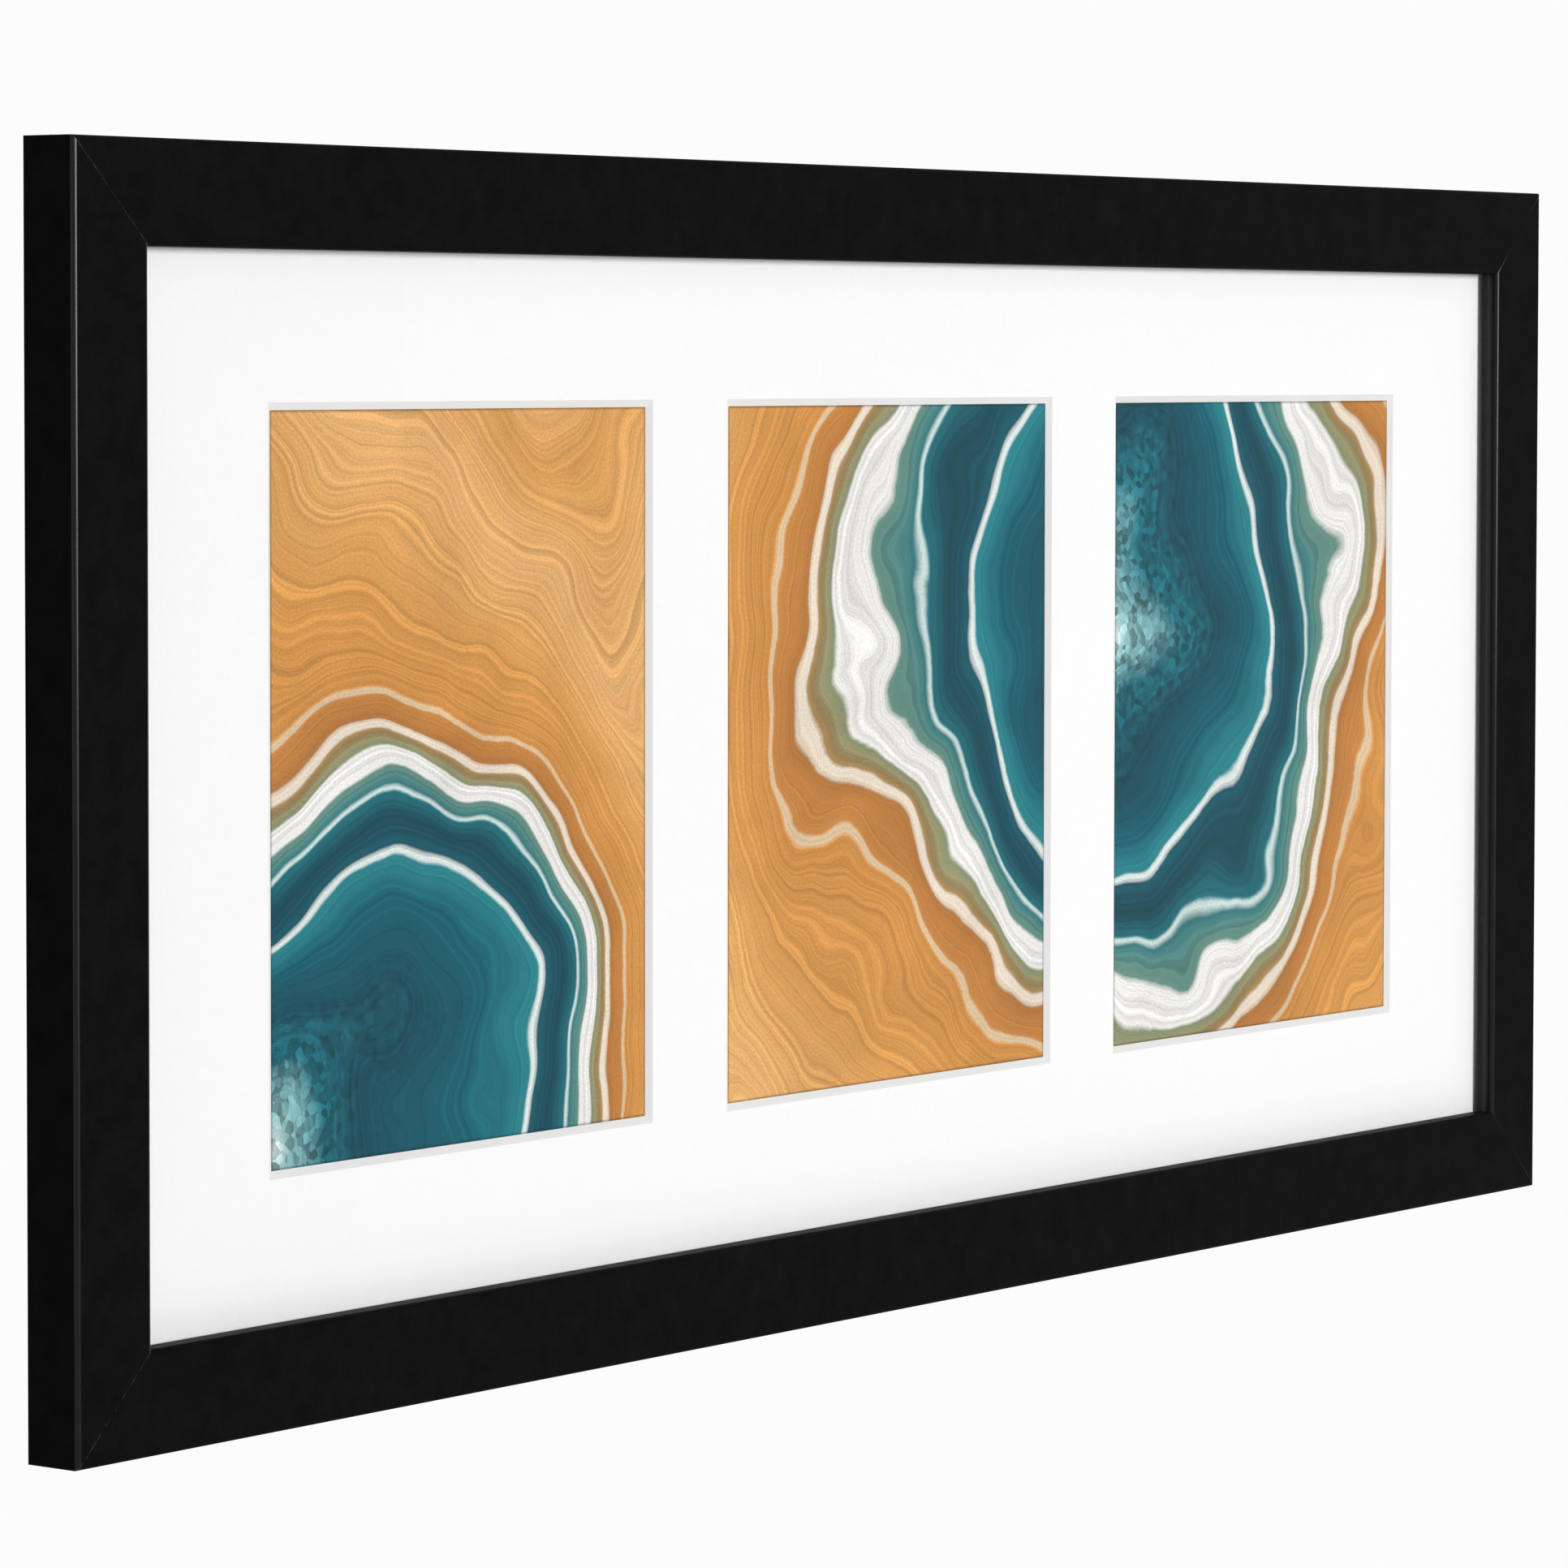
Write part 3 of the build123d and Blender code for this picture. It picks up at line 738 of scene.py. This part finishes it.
def screw_set(name, seats):
    """Copies of the screw, head to the back, with their seats at these places."""
    copies = []
    for seat in seats:
        copy = bpy.data.objects.new(f"{name}_screw", screw.data.copy())
        copy.data.transform(Matrix.Translation(seat) @ Matrix.Rotation(-math.pi / 2, 4, "X"))
        bpy.context.scene.collection.objects.link(copy)
        copies.append(copy)
    pick(copies[0])
    for copy in copies:
        copy.select_set(True)
    bpy.ops.object.join()
    copies[0].name = f"finished_{name}"
    return copies[0]


button_seat = 0.0009
pivots = [Vector(joint["pos_m"]) for joint in frame["joints"] if joint["child"] in button_names]
button_screws = screw_set("turn_button_screws", [pivot + Vector((0, button_seat, 0)) for pivot in pivots])
settle(button_screws, plated, "zinc_steel", "frame", "turn_button_screws")


# Hanger straps: zinc-plated strip rolled into an eye at the top and rounded at the foot, each
# held by one screw in the stile.
strap_edge = 0.00012
strap_hole_to_end = 0.007
strap_thickness = 0.0008
seats = []
for side in ("left", "right"):
    name = f"{side}_hanger_strap"
    low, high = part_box(name)
    seats.append(Vector(((low.x + high.x) / 2, back_plane + strap_thickness, low.z + strap_hole_to_end)))
    settle(finished_copy(name, arris=strap_edge), plated, "zinc_steel", "frame", name)
settle(screw_set("hanger_screws", seats), plated, "zinc_steel", "frame", "hanger_screws")


# D-rings: round wire bent to a D with its ends butted inside the strap's eye, then plated.
# The wire is drawn along its bar, round each bend and back, and hangs from the eye.
wire_radius = 0.00125
ring_half_width = 0.00825
ring_corner = 0.0025
ring_leg = 0.00275
butt_gap = 0.0004
bar_half = ring_half_width - ring_corner
bpy.ops.mesh.primitive_circle_add(vertices=20, radius=wire_radius, fill_type="NGON",
                                  location=(butt_gap / 2, 0, 0), rotation=(0, math.pi / 2, 0))
ring = bpy.context.object
bpy.ops.object.transform_apply(location=True, rotation=True)
bpy.ops.object.mode_set(mode="EDIT")
bpy.ops.mesh.select_all(action="SELECT")
bpy.ops.mesh.extrude_region_move(TRANSFORM_OT_translate={"value": (bar_half - butt_gap / 2, 0, 0)})
bpy.ops.mesh.spin(steps=8, angle=math.pi / 2, center=(bar_half, 0, -ring_corner), axis=(0, -1, 0))
bpy.ops.mesh.extrude_region_move(TRANSFORM_OT_translate={"value": (0, 0, -ring_leg)})
bpy.ops.mesh.spin(steps=28, angle=math.pi, center=(0, 0, -ring_corner - ring_leg), axis=(0, -1, 0))
bpy.ops.mesh.extrude_region_move(TRANSFORM_OT_translate={"value": (0, 0, ring_leg)})
bpy.ops.mesh.spin(steps=8, angle=math.pi / 2, center=(-bar_half, 0, -ring_corner), axis=(0, -1, 0))
bpy.ops.mesh.extrude_region_move(TRANSFORM_OT_translate={"value": (bar_half - butt_gap / 2, 0, 0)})
bpy.ops.mesh.select_all(action="SELECT")
bpy.ops.mesh.normals_make_consistent(inside=False)
bpy.ops.object.mode_set(mode="OBJECT")
for side in ("left", "right"):
    name = f"{side}_d_ring"
    pivot = next(Vector(joint["pos_m"]) for joint in frame["joints"] if joint["child"] == name)
    copy = bpy.data.objects.new(f"finished_{name}", ring.data.copy())
    copy.data.transform(Matrix.Translation(pivot))
    bpy.context.scene.collection.objects.link(copy)
    smooth(copy, limit=40)
    settle(copy, plated, "zinc_steel", name, name)
for spare in (screw, ring):
    bpy.data.objects.remove(spare)


# Bumpers: moulded black rubber pads, slightly tapered, stuck on the bottom rail's back to keep
# the frame off the wall. The rubber is dull, with a fine grain.
bumper_edge = 0.0009
bumper_taper = 0.88
grain_size = 0.0004
material, tree, shader, place = new_finish("moulded_black_rubber")
grain = add(tree, "ShaderNodeTexNoise", {"Vector": place, "Scale": 1 / grain_size, "Detail": 3.0})
tone = add(tree, "ShaderNodeValToRGB", {"Fac": grain.outputs["Fac"]},
           stops=[(0.3, "#1A1A1A"), (0.7, "#242424")])
tree.links.new(tone.outputs[0], shader.inputs["Base Color"])
shader.inputs["Roughness"].default_value = 0.7
for name in ("left_bumper", "right_bumper"):
    low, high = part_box(name)
    radius = (high.x - low.x) / 2
    bpy.ops.mesh.primitive_cylinder_add(vertices=48, radius=radius, depth=high.y - low.y,
                                        location=(low + high) / 2, rotation=(-math.pi / 2, 0, 0))
    bumper = bpy.context.object
    bumper.name = f"finished_{name}"
    bpy.ops.object.transform_apply(location=True, rotation=True)
    bpy.ops.object.mode_set(mode="EDIT")
    select_facing(bumper, (0, 1, 0))
    bpy.ops.transform.resize(value=(bumper_taper, 1, bumper_taper))
    bpy.ops.mesh.bevel(offset=bumper_edge, segments=4, affect="EDGES")
    bpy.ops.object.mode_set(mode="OBJECT")
    smooth(bumper, limit=40)
    settle(bumper, material, "rubber", "frame", name)
